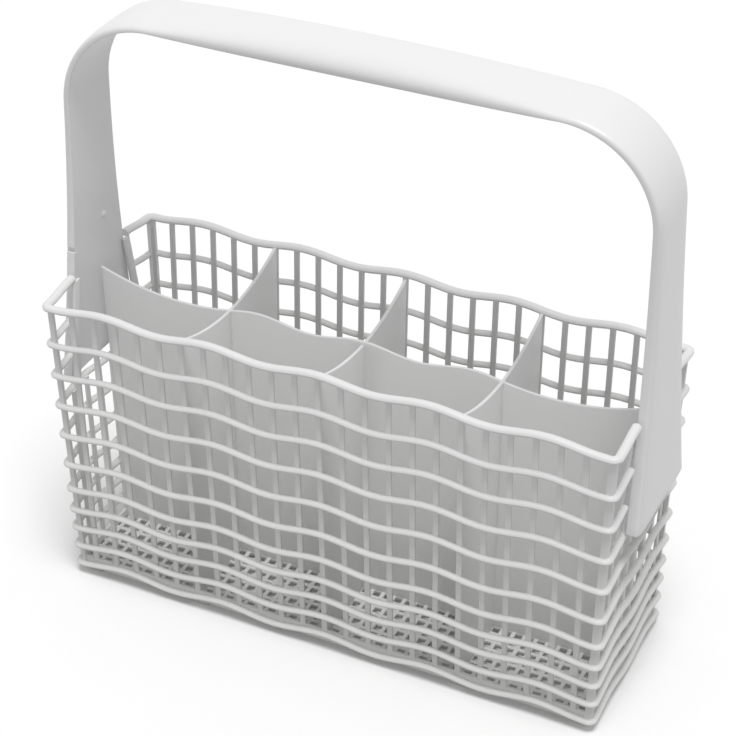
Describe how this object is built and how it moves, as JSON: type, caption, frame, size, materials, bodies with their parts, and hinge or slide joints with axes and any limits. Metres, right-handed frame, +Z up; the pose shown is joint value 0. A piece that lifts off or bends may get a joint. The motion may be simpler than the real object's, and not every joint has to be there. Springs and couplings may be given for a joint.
{
  "type": "dishwasher cutlery basket",
  "caption": "Slim upright basket with wavy ribs, slatted walls, upright pockets for cutlery and a tall arched handle, for a dishwasher rack.",
  "frame": {"origin": "centre of the feet's ground plane, below the middle of the basket", "axes": "+X along the basket, +Y across it away from the camera in the picture, +Z up"},
  "size_m": [0.248, 0.084, 0.2517],
  "materials": {
    "basket_plastic": "satin, pale grey-white",
    "handle_plastic": "smooth, softly glossy, white"
  },
  "bodies": {
    "root": {"basket": "basket_plastic", "handle": "handle_plastic"}
  },
  "joints": []
}
